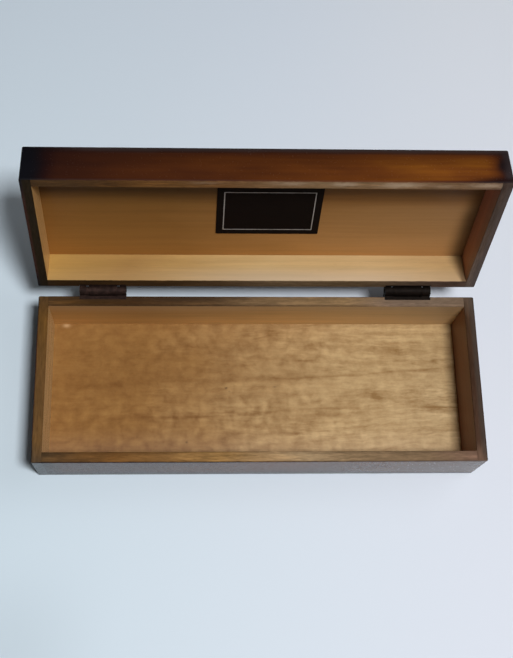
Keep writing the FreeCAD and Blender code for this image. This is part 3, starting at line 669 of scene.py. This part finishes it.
# ---------------------------------------------------------------- hinges
def hinge_metal(name, tint, seed):
    """Browned steel: dark, dull, rubbed a little brighter in patches."""
    g = Graph(name, "base")
    rust = g.noise(g.times(g.p, (0.45, 0.45, 0.45), (seed, 0, 0)), detail=4.0, rough=0.6)
    rub = g.noise(g.times(g.p, (1.6, 1.6, 1.6), (0, seed, 0)), detail=3.0, rough=0.6)
    fine = g.noise(g.times(g.p, (9.0, 9.0, 9.0), (0, 0, seed)), detail=2.0)
    level = g.ramp(rust + (rub - 0.5) * 0.7, 0.32, 0.72)
    colour = g.stops(level, ((0.0, tuple(c * 0.55 for c in tint)), (0.55, tint), (1.0, tuple(c * 1.6 for c in tint))))
    rough = g.ramp(rub, 0.3, 0.7, 0.55, 0.72)
    relief = (rub - 0.5) * 0.8 + (fine - 0.5) * 0.5
    return g.set(colour=colour, rough=rough, metal=0.35, normal=g.bump(relief, 0.05, 0.8), spec=0.12)


left_metal = hinge_metal("browned_steel_left", (0.033, 0.018, 0.0145), 1.0)
right_metal = hinge_metal("browned_steel_right", (0.0085, 0.0052, 0.0036), 4.0)
pin_metal = hinge_metal("browned_steel_pin", (0.014, 0.009, 0.007), 7.0)
screw_metal = hinge_metal("browned_steel_screw", (0.040, 0.029, 0.023), 9.0)
for side, metal in (("left", left_metal), ("right", right_metal)):
    for body in ("base", "lid"):
        give(f"hinge_{side}_{body}_leaf", metal)
        give(f"hinge_{side}_{body}_screws", screw_metal)
    give(f"hinge_{side}_pin", pin_metal)


# ---------------------------------------------------------------- label
def label_card():
    g = Graph("label_card", "lid")
    tooth = g.noise(g.times(g.p, (3.0, 3.0, 3.0)), detail=3.0, rough=0.6)
    scuff = g.noise(g.times(g.p, (0.12, 0.5, 0.5), (3, 0, 0)), detail=4.0, rough=0.6)
    colour = g.stops(scuff, ((0.30, (0.0034, 0.0018, 0.0016)), (0.55, (0.0048, 0.0025, 0.0021)), (0.80, (0.0085, 0.0046, 0.0037))))
    rough = g.ramp(scuff, 0.3, 0.7, 0.58, 0.72)
    give("lid_label", g.set(colour=colour, rough=rough, normal=g.bump(tooth, 0.03, 0.6), spec=0.06))


def label_line():
    """Printed border: a thin raised line, a little inside the edge of the label."""
    turn = Matrix.Rotation(OPEN, 3, "X")
    co = [HINGE + turn @ (Vector(v.co) * 1000 - HINGE) for v in nodes["lid_label"].data.vertices]
    x0, x1 = min(c.x for c in co), max(c.x for c in co)
    y0, y1 = min(c.y for c in co), max(c.y for c in co)
    zf = min(c.z for c in co)
    inset, width, rise = 2.85, 0.42, 0.035
    back = Matrix.Rotation(-OPEN, 3, "X")
    bm = bmesh.new()

    def ring(d, z):
        pts = ((x0 + d, y0 + d, z), (x1 - d, y0 + d, z), (x1 - d, y1 - d, z), (x0 + d, y1 - d, z))
        return [bm.verts.new((HINGE + back @ (Vector(p) - HINGE)) * 0.001) for p in pts]

    top, low = zf - rise, zf + 0.02
    rings = [ring(inset, low), ring(inset + 0.02, top), ring(inset + width - 0.02, top), ring(inset + width, low)]
    for a, b in zip(rings, rings[1:] + rings[:1]):
        for i in range(4):
            j = (i + 1) % 4
            bm.faces.new((a[i], a[j], b[j], b[i]))
    bmesh.ops.recalc_face_normals(bm, faces=bm.faces)
    mesh = bpy.data.meshes.new("label_border_line")
    bm.to_mesh(mesh)
    bm.free()
    obj = bpy.data.objects.new("label_border_line", mesh)
    scene.collection.objects.link(obj)
    g = Graph("label_silver_ink", "lid")
    worn = g.noise(g.times(g.p, (0.6, 0.6, 0.6), (1, 2, 3)), detail=4.0, rough=0.65)
    grit = g.noise(g.times(g.p, (6.0, 6.0, 6.0)), detail=2.0)
    colour = g.mix(g.ease(worn, 0.30, 0.50), (0.20, 0.182, 0.165), (0.33, 0.305, 0.285))
    mesh.materials.append(g.set(colour=colour, rough=g.ramp(grit, 0.3, 0.7, 0.40, 0.60), metal=0.0,
                                normal=g.bump(grit, 0.02, 0.5), spec=0.5))
    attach(obj, "lid")


label_card()
label_line()


# ---------------------------------------------------------------- stage, light, camera
def stage():
    bm = bmesh.new()
    bmesh.ops.create_grid(bm, x_segments=1, y_segments=1, size=4.0)
    mesh = bpy.data.meshes.new("stage_floor")
    bm.to_mesh(mesh)
    bm.free()
    obj = bpy.data.objects.new("stage_floor", mesh)
    scene.collection.objects.link(obj)
    g = Graph("stage_pale")
    tex = g.node("ShaderNodeTexCoord")
    v = Sock(g, tex.outputs["Object"])
    soft = g.noise(g.times(v, (3.0, 3.0, 3.0)), detail=2.0)
    part = g.node("ShaderNodeSeparateXYZ")
    g.plug(v, part.inputs[0])
    x, y = Sock(g, part.outputs[0]), Sock(g, part.outputs[1])
    # painted light: the floor's tint shifts from left to right, and it is paler and bluer towards the back
    colour = g.mix(g.ease(x, 0.18, -0.16), (0.805, 0.838, 0.930), (0.766, 0.902, 1.0))
    distant = g.mix(g.ease(x, 0.0, 0.12), (0.785, 0.872, 1.0), (0.870, 0.935, 1.0))
    colour = g.mix(g.ease(y, -0.05, 0.40) * 0.70, colour, distant)
    # painted shade: the floor is a little darker towards the front left corner
    near = 1.0 - g.ease(x, -0.055, -0.105) * g.ease(y, -0.065, -0.11) * 0.09
    colour = g.shade(colour, g.ramp(soft, 0.2, 0.8, 0.975, 1.0) * near)
    # the key light's pool fades with distance; a faint glow keeps the floor pale beyond it
    u, w = x - 0.19, y + 0.21
    pool = 1.0 + u * u + w * w
    glow = g.max(0.62 - g.math("DIVIDE", 1.0, pool * pool), 0.0)
    g.bsdf.inputs["Emission Color"].default_value = (0.757, 0.800, 0.890, 1.0)
    g.plug(glow, g.bsdf.inputs["Emission Strength"])
    mesh.materials.append(g.set(colour=colour, rough=0.9, spec=0.15))


def area(name, where, aim, size, watts, colour=(1, 1, 1)):
    light = bpy.data.lights.new(name, "AREA")
    light.shape = "RECTANGLE"
    light.size, light.size_y = size
    light.energy = watts
    light.color = colour
    obj = bpy.data.objects.new(name, light)
    obj.location = where
    obj.rotation_euler = (Vector(aim) - Vector(where)).to_track_quat("-Z", "Y").to_euler()
    scene.collection.objects.link(obj)


def lights():
    area("key", (0.190, -0.210, 1.0), (0.190, -0.2099, 0.0), (0.20, 0.17), 0.83 * math.pi ** 2)
    area("fill_right", (0.80, 0.30, 1.05), (0, 0, 0.03), (0.8, 0.7), 0.125 * math.pi ** 2 * 1.83)
    area("fill_front", (-0.30, -1.25, 0.45), (0, 0, 0.03), (1.0, 0.5), 0.032 * math.pi ** 2 * 1.85)
    world = bpy.data.worlds.new("studio")
    scene.world = world
    world.use_nodes = True
    tree = world.node_tree
    back = tree.nodes["Background"]
    back.inputs[0].default_value = (1.0, 0.95, 0.89, 1.0)
    back.inputs[1].default_value = 0.034
    # the room seen behind the stage is pale, but adds no light
    room = tree.nodes.new("ShaderNodeBackground")
    room.inputs[0].default_value = (0.497, 0.527, 0.584, 1.0)
    path = tree.nodes.new("ShaderNodeLightPath")
    both = tree.nodes.new("ShaderNodeMixShader")
    tree.links.new(path.outputs["Is Camera Ray"], both.inputs[0])
    tree.links.new(back.outputs[0], both.inputs[1])
    tree.links.new(room.outputs[0], both.inputs[2])
    tree.links.new(both.outputs[0], tree.nodes["World Output"].inputs["Surface"])


def camera():
    focal, elevation, turn, roll = 1111.221, 69.755, -7.213, 6.953
    el, yaw, rl = map(math.radians, (elevation, turn, roll))
    back = Vector((math.sin(yaw) * math.cos(el), -math.cos(yaw) * math.cos(el), math.sin(el)))
    right = (-back).cross(Vector((0, 0, 1))).normalized()
    up = right.cross(-back)
    across = right * math.cos(rl) + up * math.sin(rl)
    rise = -right * math.sin(rl) + up * math.cos(rl)
    cam = bpy.data.cameras.new("camera")
    obj = bpy.data.objects.new("camera", cam)
    scene.collection.objects.link(obj)
    place = Matrix((across, rise, back)).transposed().to_4x4()
    place.translation = Vector((-0.033198, -0.123272, 0.484931))
    obj.matrix_world = place
    cam.sensor_width = 36
    cam.lens = focal * 36 / 658
    cam.shift_x = (256.5 - 230.0) / 658
    cam.shift_y = (280.0 - 329.0) / 658
    cam.clip_start = 0.01
    scene.camera = obj


stage()
lights()
camera()
